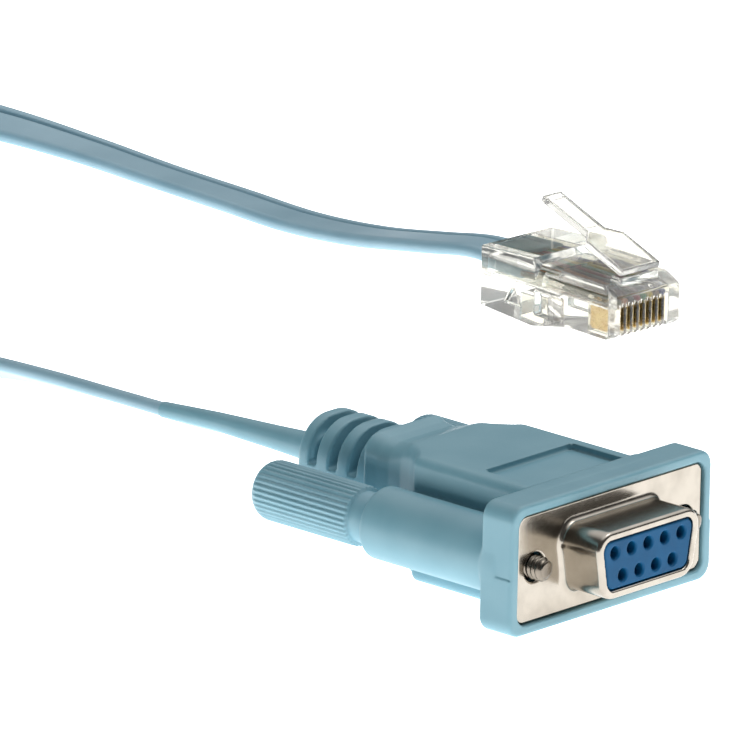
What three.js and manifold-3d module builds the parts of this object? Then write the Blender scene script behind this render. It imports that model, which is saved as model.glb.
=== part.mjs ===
// A flat console cable: a moulded nine-way D-sub socket connector with two thumbscrews at one end,
// a clear eight-way modular plug at the other, and a flat eight-conductor cord between them.
// Millimetres, +Z up. The origin is the middle of the socket connector's footprint, on the surface it
// lies on. The socket connector mates towards -Y, and its cord leaves towards +Y.
import * as THREE from 'three';
import { mergeVertices } from 'three/addons/utils/BufferGeometryUtils.js';
import Module from 'manifold-3d';

const wasm = await Module();
wasm.setup();

// Clearances between pieces that touch in the real cable
const FIT = 0.12;
const EDGE_FLAT = 0.05;

// How far a cut runs past a face, and how deep one shape starts inside the next
const CUT_PAST = 1.0;
const SINK = 1.0;
const POCKET_FIT = 0.3;
const TURN_FIT = 0.3;

// Nine-way D-sub face, the standard shell size
const SCREW_SPACING = 24.99;
const SCREW_HOLE = 3.4;
const PLATE_EAR = 2.91;
const PLATE_HEIGHT = 12.55;
const PLATE_CORNER = 1.3;
const PLATE_THICK = 0.8;
const SHELL_WIDTH = 16.33;
const SHELL_HEIGHT = 7.9;
const SHELL_REACH = 5.9;
const SHELL_WALL = 0.6;
const SHELL_LIP = 1.0;
const LIP_ROUND = 0.48;
const SHELL_CORNER = 2.2;
const SHELL_SLOPE = 10 * Math.PI / 180;
const INSULATOR_BACK = 5.0;
const INSULATOR_SINK = 0.15;
const SOCKET_PITCH = 2.77;
const SOCKET_ROWS = 2.84;
const SOCKET_HOLE = 1.5;
const CONTACT_OUTER = 1.3;
const CONTACT_BORE = 0.9;
const CONTACT_LENGTH = 7.5;
const CONTACT_SINK = 1.6;

// Moulded hood: flange, body, waist, collar, neck with its slots, and tail
const BEZEL_SIDE = 1.445;
const BEZEL_TOP = 1.325;
const FLANGE_THICK = 4.4;
const FLANGE_CORNER = 1.9;
const RIM_PROUD = 0.35;
const BODY_WIDTH = 19.0;
const BODY_HEIGHT = 14.7;
const BODY_CORNER = 1.3;
const BODY_END = 21.0;
const CREASE_AT = 25.0;
const CREASE_WIDTH = 15.2;
const WAIST_AT = 27.8;
const WAIST_WIDTH = 12.6;
const WAIST_HEIGHT = 13.8;
const COLLAR_AT = 31.3;
const COLLAR_WIDTH = 14.0;
const COLLAR_HEIGHT = 14.4;
const COLLAR_CORNER = 2.0;
const NECK_END = 42.6;
const NECK_WIDTH = 10.6;
const NECK_HEIGHT = 12.2;
const NECK_CORNER = 4.6;
const NECK_EDGE = 0.5;
const SLOT_COUNT = 3;
const SLOT_FIRST = 34.2;
const SLOT_PITCH = 3.05;
const SLOT_WIDTH = 1.35;
const SLOT_DEPTH = 2.1;
const SLOT_WEB = 2.4;
const TAIL_END = 66.0;
const TAIL_STATIONS = [
  { along: 0, width: 8.0, thick: 3.5, rise: 1.0 },
  { along: 0.26, width: 7.7, thick: 2.9, rise: 0.9 },
  { along: 0.65, width: 7.2, thick: 2.2, rise: 0.75 },
  { along: 0.84, width: 7.0, thick: 2.0, rise: 0.5 },
  { along: 1, width: 6.9, thick: 1.85, rise: 0.27 },
];
const LABEL_WIDTH = 14.6;
const LABEL_END = 12.5;
const LABEL_DEPTH = 0.55;

// Thumbscrews and the bosses that carry them
const BOSS_RADIUS = 4.2;
const BOSS_END = 22.8;
const BOSS_BORE = 1.9;
const COLLAR_LENGTH = 2.5;
const COLLAR_RADIUS = 3.3;
const KNOB_RADIUS = 3.5;
const KNOB_LENGTH = 15.0;
const KNOB_ROUND = 1.8;
const SHANK_RADIUS = 1.6;
const THREAD_RADIUS = 1.42;
const THREAD_LENGTH = 6.8;
const THREAD_PROUD = 1.8;
const THREAD_CHAMFER = 0.35;
const SCREW_STEP = 0.2;

// Modular plug, its latch, blades and conductors
const PLUG_WIDTH = 11.68;
const PLUG_LENGTH = 21.5;
const NOSE_FRONT = 5.0;
const NOSE_SLOPE = 1.5;
const NOSE_HEIGHT = 6.3;
const SHOULDER_HEIGHT = 4.6;
const SHOULDER_LEAN = 0.45;
const DECK_START = 12.7;
const DECK_RAMP = 0.5;
const DECK_HEIGHT = 7.2;
const REAR_HEIGHT = 6.7;
const REAR_DEPTH = 0.6;
const BELLY_START = 7.0;
const BELLY_AT = 12.9;
const BELLY_DEPTH = 1.2;
const PLUG_BEVEL = 0.5;
const WINDOW_FRONT = 8.0;
const WINDOW_BACK = 12.4;
const WINDOW_LOW = 0.3;
const WINDOW_TOP = 3.2;
const WINDOW_DEPTH = 1.2;
const PEDESTAL_FRONT = 0.9;
const PEDESTAL_BACK = 2.6;
const PEDESTAL_RISE = 0.55;
const WAY_COUNT = 8;
const WAY_PITCH = 1.02;
const BLADE_SLOT = 0.56;
const BLADE_THICK = 0.35;
const BLADE_FRONT = 0.4;
const BLADE_LENGTH = 3.8;
const BLADE_FOOT = 0.55;
const WIRE_DIAMETER = 0.78;
const WIRE_HEIGHT = 4.1;
const WIRE_FRONT = 0.8;
const WIRE_SPREAD_AT = 11.0;
const JACKET_INSET = 4.8;
const CAVITY_END_WALL = 0.5;
const RELIEF_FRONT = 12.2;
const RELIEF_BACK = 16.2;
const RELIEF_WIDTH = 6.4;
const RELIEF_ROOF = 1.0;
const LATCH_AT = 1.3;
const LATCH_LENGTH = 15.6;
const LATCH_WIDE = 6.2;
const LATCH_NARROW = 3.0;
const LATCH_SHOULDER = 6.0;
const LATCH_TAPER = 1.6;
const LATCH_THICK = 1.0;
const LATCH_ANGLE = 19.5 * Math.PI / 180;
const LATCH_HEEL = 0.5;

// Where the modular plug lies, its front middle and its turn about Z
const PLUG_X = 78.4;
const PLUG_Y = 34.3;
const PLUG_TURN = -4 * Math.PI / 180;

// Flat cord and its coil
const CORD_WIDTH = 6.4;
const CORD_THICK = 1.6;
const CORD_ROLL = 22.6 * Math.PI / 180;
const CORD_GAP = 0.3;
const COIL_X = 8.0;
const COIL_Y = 135.5;
const COIL_RADIUS = 37.5;
const COIL_BUILD = 11.0;
const COIL_LAYERS = 2;
const TIE_WIDTH = 6.0;
const TIE_THICK = 0.6;
const TIE_ANGLE = 100 * Math.PI / 180;

// Sizes and places that follow from those above
const PLATE_WIDTH = SCREW_SPACING + 2 * PLATE_EAR;
const FLANGE_WIDTH = PLATE_WIDTH + 2 * BEZEL_SIDE;
const FLANGE_HEIGHT = PLATE_HEIGHT + 2 * BEZEL_TOP;
const AXIS_Z = FLANGE_HEIGHT / 2;
const PLATE_Y = SHELL_REACH - (SHELL_REACH + TAIL_END) / 2;
const SCREW_X = SCREW_SPACING / 2;
const COIL_FLOOR = TIE_THICK + CORD_GAP;
const COIL_HEIGHT = COIL_LAYERS * (CORD_WIDTH + CORD_GAP);

const pvc = new THREE.MeshStandardMaterial({ color: 0x8fb6c4, roughness: 0.55, metalness: 0 });
const nickel = new THREE.MeshStandardMaterial({ color: 0xcfc8bc, roughness: 0.3, metalness: 1 });
const screwSteel = new THREE.MeshStandardMaterial({ color: 0xb9b4aa, roughness: 0.3, metalness: 1 });
const blueResin = new THREE.MeshStandardMaterial({ color: 0x0a7fb8, roughness: 0.5, metalness: 0 });
const gold = new THREE.MeshStandardMaterial({ color: 0xd9b25a, roughness: 0.25, metalness: 1 });
const clearResin = new THREE.MeshStandardMaterial({ color: 0xe8ece8, roughness: 0.1, metalness: 0 });
const tieFabric = new THREE.MeshStandardMaterial({ color: 0x2a2c2e, roughness: 0.9, metalness: 0 });
const WIRE_COLOURS = [0x6f7468, 0xb06a3a, 0x1f1f22, 0x8e2328, 0x2e7d46, 0xd8b62a, 0x6b5444, 0x27408b];

// Solids and the boolean steps between them
function toManifold(geometry) {
  const bare = geometry.clone();
  for (const name of Object.keys(bare.attributes)) {
    if (name !== 'position') {
      bare.deleteAttribute(name);
    }
  }
  const merged = mergeVertices(bare, 1e-4);
  return new wasm.Manifold(new wasm.Mesh({
    numProp: 3,
    vertProperties: new Float32Array(merged.attributes.position.array),
    triVerts: new Uint32Array(merged.index.array),
  }));
}

function toGeometry(solid) {
  const mesh = solid.getMesh();
  const geometry = new THREE.BufferGeometry();
  geometry.setAttribute('position', new THREE.BufferAttribute(new Float32Array(mesh.vertProperties), 3));
  geometry.setIndex(new THREE.BufferAttribute(new Uint32Array(mesh.triVerts), 1));
  geometry.computeVertexNormals();
  return geometry;
}

function combine(base, additions, cuts) {
  let solid = toManifold(base);
  for (const piece of additions) {
    solid = solid.add(toManifold(piece));
  }
  for (const piece of cuts) {
    solid = solid.subtract(toManifold(piece));
  }
  return toGeometry(solid);
}

// Outlines in the plane across the cable, as Vector2 of width and height
function roundedOutline(width, height, radius, steps = 4) {
  const points = [];
  const corners = [[1, 1, 0], [-1, 1, 1], [-1, -1, 2], [1, -1, 3]];
  for (const [sx, sz, quarter] of corners) {
    for (let i = 0; i <= steps; i += 1) {
      const angle = (quarter + i / steps) * Math.PI / 2;
      points.push(new THREE.Vector2(
        sx * (width / 2 - radius) + radius * Math.cos(angle),
        sz * (height / 2 - radius) + radius * Math.sin(angle),
      ));
    }
  }
  return points;
}

// The D outline: wide side up, both sides leaning in by the slope, corners rounded by arcs
function dOutline(width, height, corner, steps = 4) {
  const lean = height / 2 * Math.tan(SHELL_SLOPE);
  const half = width / 2 - corner * (1 / Math.cos(SHELL_SLOPE) - 1);
  const turns = [
    [1, 1, -SHELL_SLOPE, Math.PI / 2],
    [-1, 1, Math.PI / 2, Math.PI + SHELL_SLOPE],
    [-1, -1, Math.PI + SHELL_SLOPE, 1.5 * Math.PI],
    [1, -1, 1.5 * Math.PI, 2 * Math.PI - SHELL_SLOPE],
  ];
  const points = [];
  for (const [sx, sz, from, to] of turns) {
    const cz = sz * (height / 2 - corner);
    const cx = sx * (half - lean + lean * (1 + cz / (height / 2)) - corner);
    for (let i = 0; i <= steps; i += 1) {
      const angle = from + (to - from) * i / steps;
      points.push(new THREE.Vector2(cx + corner * Math.cos(angle), cz + corner * Math.sin(angle)));
    }
  }
  return points;
}

// A prism of an outline from one depth to another along Y, raised to a height
function prismY(outline, from, to, x = 0, z = 0) {
  const shape = new THREE.Shape(outline);
  const geometry = new THREE.ExtrudeGeometry(shape, { depth: to - from, bevelEnabled: false });
  geometry.rotateX(Math.PI / 2);
  geometry.translate(x, to, z);
  return geometry;
}

// A closed skin through rings of equal point counts, fanned shut at both ends
function loft(rings) {
  const count = rings[0].length;
  const points = rings.flat();
  const first = rings[0].reduce((sum, p) => sum.add(p), new THREE.Vector3()).divideScalar(count);
  const last = rings.at(-1).reduce((sum, p) => sum.add(p), new THREE.Vector3()).divideScalar(count);
  points.push(first, last);
  const index = [];
  for (let r = 0; r + 1 < rings.length; r += 1) {
    for (let i = 0; i < count; i += 1) {
      const a = r * count + i;
      const b = r * count + (i + 1) % count;
      index.push(a, b, a + count, b, b + count, a + count);
    }
  }
  const lastRing = (rings.length - 1) * count;
  for (let i = 0; i < count; i += 1) {
    const j = (i + 1) % count;
    index.push(points.length - 2, j, i);
    index.push(points.length - 1, lastRing + i, lastRing + j);
  }
  const geometry = new THREE.BufferGeometry().setFromPoints(points);
  geometry.setIndex(index);
  const flipped = toSignedVolume(geometry) < 0;
  if (flipped) {
    for (let i = 0; i < index.length; i += 3) {
      [index[i + 1], index[i + 2]] = [index[i + 2], index[i + 1]];
    }
    geometry.setIndex(index);
  }
  geometry.computeVertexNormals();
  return geometry;
}

function toSignedVolume(geometry) {
  const position = geometry.attributes.position;
  const corners = [new THREE.Vector3(), new THREE.Vector3(), new THREE.Vector3()];
  let volume = 0;
  for (let i = 0; i < geometry.index.count; i += 3) {
    corners.forEach((corner, k) => corner.fromBufferAttribute(position, geometry.index.getX(i + k)));
    volume += corners[0].dot(corners[1].clone().cross(corners[2])) / 6;
  }
  return volume;
}

// Rings across Y for the loft, each a rounded outline turned by a roll and raised from the axis
function ringY(depth, width, height, corner, rise = 0, roll = 0) {
  return roundedOutline(width, height, corner).map((p) => new THREE.Vector3(
    p.x * Math.cos(roll) - p.y * Math.sin(roll),
    PLATE_Y + depth,
    AXIS_Z + rise + p.x * Math.sin(roll) + p.y * Math.cos(roll),
  ));
}

function cylinderY(radius, from, to, x, z, sides) {
  const geometry = new THREE.CylinderGeometry(radius, radius, to - from, sides);
  geometry.translate(x, (from + to) / 2, z);
  return geometry;
}

function boxBetween(low, high) {
  const geometry = new THREE.BoxGeometry(high[0] - low[0], high[1] - low[1], high[2] - low[2]);
  geometry.translate((low[0] + high[0]) / 2, (low[1] + high[1]) / 2, (low[2] + high[2]) / 2);
  return geometry;
}

const cable = new THREE.Group();

function place(name, geometry, material, group = cable) {
  const mesh = new THREE.Mesh(geometry, material);
  mesh.name = name;
  group.add(mesh);
  return mesh;
}

// Socket places, five above four, as offsets from the connector's axis
function socketPlaces() {
  const places = [];
  for (let i = 0; i < 5; i += 1) {
    places.push([(i - 2) * SOCKET_PITCH, SOCKET_ROWS / 2]);
  }
  for (let i = 0; i < 4; i += 1) {
    places.push([(i - 1.5) * SOCKET_PITCH, -SOCKET_ROWS / 2]);
  }
  return places;
}

// The hood is one overmoulding, so its flange, body, bosses, neck and tail are one solid
function hoodGeometry() {
  const body = loft([
    ringY(FLANGE_THICK - SINK, BODY_WIDTH, BODY_HEIGHT, BODY_CORNER),
    ringY(BODY_END, BODY_WIDTH, BODY_HEIGHT, BODY_CORNER),
    ringY(CREASE_AT, CREASE_WIDTH, BODY_HEIGHT, COLLAR_CORNER),
    ringY(WAIST_AT, WAIST_WIDTH, WAIST_HEIGHT, COLLAR_CORNER),
    ringY(COLLAR_AT - NECK_EDGE, COLLAR_WIDTH, COLLAR_HEIGHT, COLLAR_CORNER),
    ringY(COLLAR_AT, COLLAR_WIDTH - 2 * NECK_EDGE, COLLAR_HEIGHT - 2 * NECK_EDGE, COLLAR_CORNER - NECK_EDGE),
  ]);
  const flange = prismY(
    roundedOutline(FLANGE_WIDTH, FLANGE_HEIGHT, FLANGE_CORNER),
    PLATE_Y - RIM_PROUD, PLATE_Y + FLANGE_THICK, 0, AXIS_Z,
  );
  const neck = loft([
    ringY(COLLAR_AT - SINK, NECK_WIDTH, NECK_HEIGHT, NECK_CORNER),
    ringY(NECK_END - NECK_EDGE, NECK_WIDTH, NECK_HEIGHT, NECK_CORNER),
    ringY(NECK_END, NECK_WIDTH - 2 * NECK_EDGE, NECK_HEIGHT - 2 * NECK_EDGE, NECK_CORNER - NECK_EDGE),
  ]);
  const tailRings = TAIL_STATIONS.map(({ along, width, thick, rise }) => ringY(
    THREE.MathUtils.lerp(NECK_END - SINK, TAIL_END, along),
    width, thick, thick / 2 - EDGE_FLAT, rise, -CORD_ROLL,
  ));
  const bosses = [-1, 1].map((side) => cylinderY(
    BOSS_RADIUS, PLATE_Y + FLANGE_THICK - SINK, PLATE_Y + BOSS_END, side * SCREW_X, AXIS_Z, 32,
  ));

  const cuts = [];
  cuts.push(prismY(
    roundedOutline(PLATE_WIDTH + 2 * FIT, PLATE_HEIGHT + 2 * FIT, PLATE_CORNER + FIT),
    PLATE_Y - RIM_PROUD - CUT_PAST, PLATE_Y + PLATE_THICK, 0, AXIS_Z,
  ));
  cuts.push(prismY(
    dOutline(SHELL_WIDTH - 2 * SHELL_WALL + POCKET_FIT, SHELL_HEIGHT - 2 * SHELL_WALL + POCKET_FIT,
      SHELL_CORNER - SHELL_WALL),
    PLATE_Y, PLATE_Y + PLATE_THICK + INSULATOR_BACK + POCKET_FIT, 0, AXIS_Z,
  ));
  for (const side of [-1, 1]) {
    cuts.push(cylinderY(BOSS_BORE, PLATE_Y, PLATE_Y + BOSS_END + CUT_PAST, side * SCREW_X, AXIS_Z, 20));
  }
  cuts.push(boxBetween(
    [-LABEL_WIDTH / 2, PLATE_Y + FLANGE_THICK, AXIS_Z + BODY_HEIGHT / 2 - LABEL_DEPTH],
    [LABEL_WIDTH / 2, PLATE_Y + LABEL_END, AXIS_Z + BODY_HEIGHT / 2 + CUT_PAST],
  ));
  for (let i = 0; i < SLOT_COUNT; i += 1) {
    const middle = PLATE_Y + SLOT_FIRST + i * SLOT_PITCH;
    const core = prismY(
      roundedOutline(NECK_WIDTH - 2 * SLOT_DEPTH, NECK_HEIGHT - 2 * SLOT_DEPTH, NECK_CORNER - SLOT_DEPTH),
      middle - SLOT_WIDTH, middle + SLOT_WIDTH, 0, AXIS_Z,
    );
    for (const side of [-1, 1]) {
      const near = AXIS_Z + side * SLOT_WEB / 2;
      const far = AXIS_Z + side * NECK_HEIGHT;
      const slab = boxBetween(
        [-NECK_WIDTH, middle - SLOT_WIDTH / 2, Math.min(near, far)],
        [NECK_WIDTH, middle + SLOT_WIDTH / 2, Math.max(near, far)],
      );
      cuts.push(combine(slab, [], [core]));
    }
  }
  return combine(body, [flange, neck, loft(tailRings), ...bosses], cuts);
}

// One stamped shell: the plate and the D-shaped wall with its turned-in lip
function faceShellGeometry() {
  const plate = prismY(
    roundedOutline(PLATE_WIDTH, PLATE_HEIGHT, PLATE_CORNER),
    PLATE_Y, PLATE_Y + PLATE_THICK, 0, AXIS_Z,
  );
  const lipWidth = SHELL_WIDTH - 2 * SHELL_LIP;
  const lipHeight = SHELL_HEIGHT - 2 * SHELL_LIP;
  const steps = [
    [0, 0], [SHELL_REACH - LIP_ROUND, 0], [SHELL_REACH - LIP_ROUND * 0.3, LIP_ROUND * 0.3],
    [SHELL_REACH, LIP_ROUND],
  ];
  const rings = steps.map(([reach, inset]) => dOutline(
    SHELL_WIDTH - 2 * inset, SHELL_HEIGHT - 2 * inset, SHELL_CORNER - inset,
  ).map((p) => new THREE.Vector3(p.x, PLATE_Y - reach, AXIS_Z + p.y)));
  const hollow = prismY(
    dOutline(SHELL_WIDTH - 2 * SHELL_WALL, SHELL_HEIGHT - 2 * SHELL_WALL, SHELL_CORNER - SHELL_WALL),
    PLATE_Y - SHELL_REACH + SHELL_WALL, PLATE_Y + PLATE_THICK + CUT_PAST, 0, AXIS_Z,
  );
  const mouth = prismY(
    dOutline(lipWidth, lipHeight, SHELL_CORNER - SHELL_LIP),
    PLATE_Y - SHELL_REACH - CUT_PAST, PLATE_Y, 0, AXIS_Z,
  );
  const holes = [-1, 1].map((side) => cylinderY(
    SCREW_HOLE / 2, PLATE_Y - CUT_PAST, PLATE_Y + PLATE_THICK + CUT_PAST, side * SCREW_X, AXIS_Z, 24,
  ));
  return combine(plate, [loft(rings)], [hollow, mouth, ...holes]);
}

// The insulator fills the shell and steps in to pass its lip; each socket bore runs through it
function insulatorGeometry() {
  const back = prismY(
    dOutline(SHELL_WIDTH - 2 * SHELL_WALL - 2 * FIT, SHELL_HEIGHT - 2 * SHELL_WALL - 2 * FIT,
      SHELL_CORNER - SHELL_WALL - FIT),
    PLATE_Y - SHELL_REACH + SHELL_WALL + FIT, PLATE_Y + PLATE_THICK + INSULATOR_BACK, 0, AXIS_Z,
  );
  const front = prismY(
    dOutline(SHELL_WIDTH - 2 * SHELL_LIP - 2 * FIT, SHELL_HEIGHT - 2 * SHELL_LIP - 2 * FIT,
      SHELL_CORNER - SHELL_LIP - FIT),
    PLATE_Y - SHELL_REACH + INSULATOR_SINK, PLATE_Y, 0, AXIS_Z,
  );
  const bores = socketPlaces().map(([x, z]) => cylinderY(
    SOCKET_HOLE / 2, PLATE_Y - SHELL_REACH - CUT_PAST, PLATE_Y + PLATE_THICK + INSULATOR_BACK + CUT_PAST,
    x, AXIS_Z + z, 14,
  ));
  return combine(back, [front], bores);
}

// A turned contact: a sleeve open at the front, closed at the back
function contactGeometry() {
  const outer = CONTACT_OUTER / 2;
  const bore = CONTACT_BORE / 2;
  const profile = [
    [0, 0], [outer, 0], [outer, CONTACT_LENGTH], [bore, CONTACT_LENGTH],
    [bore, CONTACT_LENGTH / 3], [0, CONTACT_LENGTH / 3],
  ].map(([r, y]) => new THREE.Vector2(r, y));
  const geometry = new THREE.LatheGeometry(profile, 12);
  geometry.rotateX(Math.PI);
  return geometry;
}

// A thumbscrew is one turned body: thread, shank, plain collar and gripped knob
function thumbscrewRings() {
  const collarStart = PLATE_Y + BOSS_END + TURN_FIT;
  const knobStart = collarStart + COLLAR_LENGTH;
  const knobEnd = knobStart + KNOB_LENGTH;
  const threadTip = PLATE_Y - THREAD_PROUD;
  const threadEnd = threadTip + THREAD_LENGTH;
  return { collarStart, knobStart, knobEnd, threadTip, threadEnd };
}

function turned(profile, sides) {
  const start = profile[0][1];
  const points = profile.map(([radius, y]) => new THREE.Vector2(radius, y - start));
  const geometry = new THREE.LatheGeometry(points, sides);
  geometry.translate(0, start, 0);
  return geometry;
}

function screwGeometry() {
  const { collarStart, threadTip, threadEnd } = thumbscrewRings();
  return turned([
    [0, threadTip], [THREAD_RADIUS - THREAD_CHAMFER, threadTip], [THREAD_RADIUS, threadTip + THREAD_CHAMFER],
    [THREAD_RADIUS, threadEnd], [SHANK_RADIUS, threadEnd + SCREW_STEP],
    [SHANK_RADIUS, collarStart + KNOB_LENGTH / 2], [0, collarStart + KNOB_LENGTH / 2],
  ], 16);
}

function knobGeometry() {
  const { collarStart, knobStart, knobEnd } = thumbscrewRings();
  const points = [
    [SHANK_RADIUS + FIT, collarStart], [COLLAR_RADIUS, collarStart],
    [COLLAR_RADIUS, knobStart], [KNOB_RADIUS, knobStart + SCREW_STEP], [KNOB_RADIUS, knobEnd - KNOB_ROUND],
  ];
  for (let i = 1; i <= 4; i += 1) {
    const angle = i / 4 * Math.PI / 2;
    points.push([
      KNOB_RADIUS - KNOB_ROUND + KNOB_ROUND * Math.cos(angle),
      knobEnd - KNOB_ROUND + KNOB_ROUND * Math.sin(angle),
    ]);
  }
  const pocket = collarStart + KNOB_LENGTH / 2 + FIT;
  points.push([0, knobEnd], [0, pocket], [SHANK_RADIUS + FIT, pocket], [SHANK_RADIUS + FIT, collarStart]);
  return turned(points, 28);
}

// The plug housing: one clear moulding with its blade slots, wire tunnel, jacket channel and relief pocket
function wayX(i) {
  return (i - (WAY_COUNT - 1) / 2) * WAY_PITCH;
}

function plugHousingGeometry() {
  const side = [
    [0, PLUG_BEVEL], [PLUG_BEVEL, 0], [BELLY_START, 0], [BELLY_AT, -BELLY_DEPTH],
    [PLUG_LENGTH, -REAR_DEPTH], [PLUG_LENGTH, REAR_HEIGHT], [DECK_START, DECK_HEIGHT],
    [DECK_START - DECK_RAMP, NOSE_HEIGHT], [NOSE_SLOPE, NOSE_HEIGHT], [0, NOSE_FRONT],
  ].map(([y, z]) => new THREE.Vector2(y, z));
  const block = new THREE.ExtrudeGeometry(new THREE.Shape(side), { depth: PLUG_WIDTH, bevelEnabled: false });
  block.rotateX(Math.PI / 2);
  block.rotateZ(Math.PI / 2);
  block.translate(-PLUG_WIDTH / 2, 0, 0);
  const pedestal = boxBetween(
    [-LATCH_WIDE / 2, PEDESTAL_FRONT, NOSE_FRONT - SINK],
    [LATCH_WIDE / 2, PEDESTAL_BACK, NOSE_HEIGHT + PEDESTAL_RISE],
  );

  const cuts = [];
  const half = PLUG_WIDTH / 2;
  const leanTop = DECK_HEIGHT + CUT_PAST;
  for (const side of [-1, 1]) {
    cuts.push(prismY([
      [half, SHOULDER_HEIGHT], [half + CUT_PAST, SHOULDER_HEIGHT], [half + CUT_PAST, leanTop],
      [half - SHOULDER_LEAN * (leanTop - SHOULDER_HEIGHT), leanTop],
    ].map(([x, z]) => new THREE.Vector2(side * x, z)), -CUT_PAST, DECK_START - DECK_RAMP));
    const inner = side * (half - WINDOW_DEPTH);
    const outer = side * (half + CUT_PAST);
    cuts.push(boxBetween(
      [Math.min(inner, outer), WINDOW_FRONT, WINDOW_LOW],
      [Math.max(inner, outer), WINDOW_BACK, WINDOW_TOP],
    ));
  }
  const wireRoom = WIRE_DIAMETER + 2 * TURN_FIT;
  const wireSpan = (WAY_COUNT - 1) * WAY_PITCH + wireRoom;
  cuts.push(boxBetween(
    [-wireSpan / 2, CAVITY_END_WALL, WIRE_HEIGHT - wireRoom / 2],
    [wireSpan / 2, WIRE_SPREAD_AT + CUT_PAST, WIRE_HEIGHT + wireRoom / 2],
  ));
  const jacketWide = CORD_WIDTH + 2 * TURN_FIT;
  const jacketTall = CORD_THICK + 2 * TURN_FIT;
  cuts.push(boxBetween(
    [-jacketWide / 2, WIRE_SPREAD_AT - SINK, WIRE_HEIGHT - jacketTall / 2],
    [jacketWide / 2, PLUG_LENGTH + CUT_PAST, WIRE_HEIGHT + jacketTall / 2],
  ));
  cuts.push(boxBetween(
    [-RELIEF_WIDTH / 2, RELIEF_FRONT, -BELLY_DEPTH - CUT_PAST],
    [RELIEF_WIDTH / 2, RELIEF_BACK, WIRE_HEIGHT - jacketTall / 2 - RELIEF_ROOF],
  ));
  for (let i = 0; i < WAY_COUNT; i += 1) {
    cuts.push(boxBetween(
      [wayX(i) - BLADE_SLOT / 2, -CUT_PAST, -CUT_PAST],
      [wayX(i) + BLADE_SLOT / 2, BLADE_FRONT + BLADE_LENGTH + TURN_FIT, WIRE_HEIGHT],
    ));
  }
  return combine(block, [pedestal], cuts);
}

// The latch outline: wide at its hinge, stepping in at the shoulders to the finger tab
function latchGeometry() {
  const wide = LATCH_WIDE / 2;
  const narrow = LATCH_NARROW / 2;
  const outline = [
    [-wide, -LATCH_HEEL], [wide, -LATCH_HEEL], [wide, LATCH_SHOULDER], [narrow, LATCH_SHOULDER + LATCH_TAPER],
    [narrow, LATCH_LENGTH], [-narrow, LATCH_LENGTH], [-narrow, LATCH_SHOULDER + LATCH_TAPER],
    [-wide, LATCH_SHOULDER],
  ].map(([x, y]) => new THREE.Vector2(x, y));
  const geometry = new THREE.ExtrudeGeometry(new THREE.Shape(outline), {
    depth: LATCH_THICK, bevelEnabled: false,
  });
  geometry.translate(0, 0, -LATCH_THICK / 2);
  return geometry;
}

// A run of round or flat section along hand-chosen points. The section is turned so that its first
// direction starts out upwards, whichever frame the curve begins with.
function runGeometry(outline, points, steps) {
  const path = new THREE.CatmullRomCurve3(points.map((p) => new THREE.Vector3(...p)), false, 'centripetal');
  const frames = path.computeFrenetFrames(steps, false);
  const up = new THREE.Vector3(0, 0, 1);
  const turn = Math.atan2(up.dot(frames.binormals[0]), up.dot(frames.normals[0]));
  const middle = new THREE.Vector2(0, 0);
  const section = outline.map((p) => p.clone().rotateAround(middle, turn));
  return new THREE.ExtrudeGeometry(new THREE.Shape(section), {
    steps, extrudePath: path, bevelEnabled: false,
  });
}

function wireGeometry(i) {
  const outline = [];
  for (let k = 0; k < 8; k += 1) {
    const angle = k / 8 * 2 * Math.PI;
    outline.push(new THREE.Vector2(WIRE_DIAMETER / 2 * Math.cos(angle), WIRE_DIAMETER / 2 * Math.sin(angle)));
  }
  const jacketPitch = (CORD_WIDTH - WIRE_DIAMETER) / WAY_COUNT;
  const wireEnd = PLUG_LENGTH - JACKET_INSET - CORD_GAP;
  const tight = (i - (WAY_COUNT - 1) / 2) * Math.max(jacketPitch, WIRE_DIAMETER + 0.02);
  return runGeometry(outline, [
    [wayX(i), WIRE_FRONT, WIRE_HEIGHT],
    [wayX(i), WIRE_SPREAD_AT - 3, WIRE_HEIGHT],
    [(wayX(i) + tight) / 2, WIRE_SPREAD_AT, WIRE_HEIGHT],
    [tight, wireEnd, WIRE_HEIGHT],
  ], 6);
}

// The flat cord's section, with its width across the run
function cordOutline(roll) {
  return roundedOutline(CORD_THICK, CORD_WIDTH, CORD_THICK / 2 - EDGE_FLAT, 2).map(
    (p) => p.rotateAround(new THREE.Vector2(0, 0), roll),
  );
}

place('hood', hoodGeometry(), pvc);
place('face_shell', faceShellGeometry(), nickel);
place('socket_insulator', insulatorGeometry(), blueResin);
socketPlaces().forEach(([x, z], i) => {
  const contact = place(`socket_contact_${i + 1}`, contactGeometry(), gold);
  contact.position.set(x, PLATE_Y - SHELL_REACH + CONTACT_SINK + CONTACT_LENGTH, AXIS_Z + z);
});

for (const [side, word] of [[-1, 'near'], [1, 'far']]) {
  const thumbscrew = new THREE.Group();
  thumbscrew.position.set(side * SCREW_X, 0, AXIS_Z);
  place(`thumbscrew_knob_${word}`, knobGeometry(), pvc, thumbscrew);
  place(`jackscrew_${word}`, screwGeometry(), screwSteel, thumbscrew);
  cable.add(thumbscrew);
}

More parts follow.
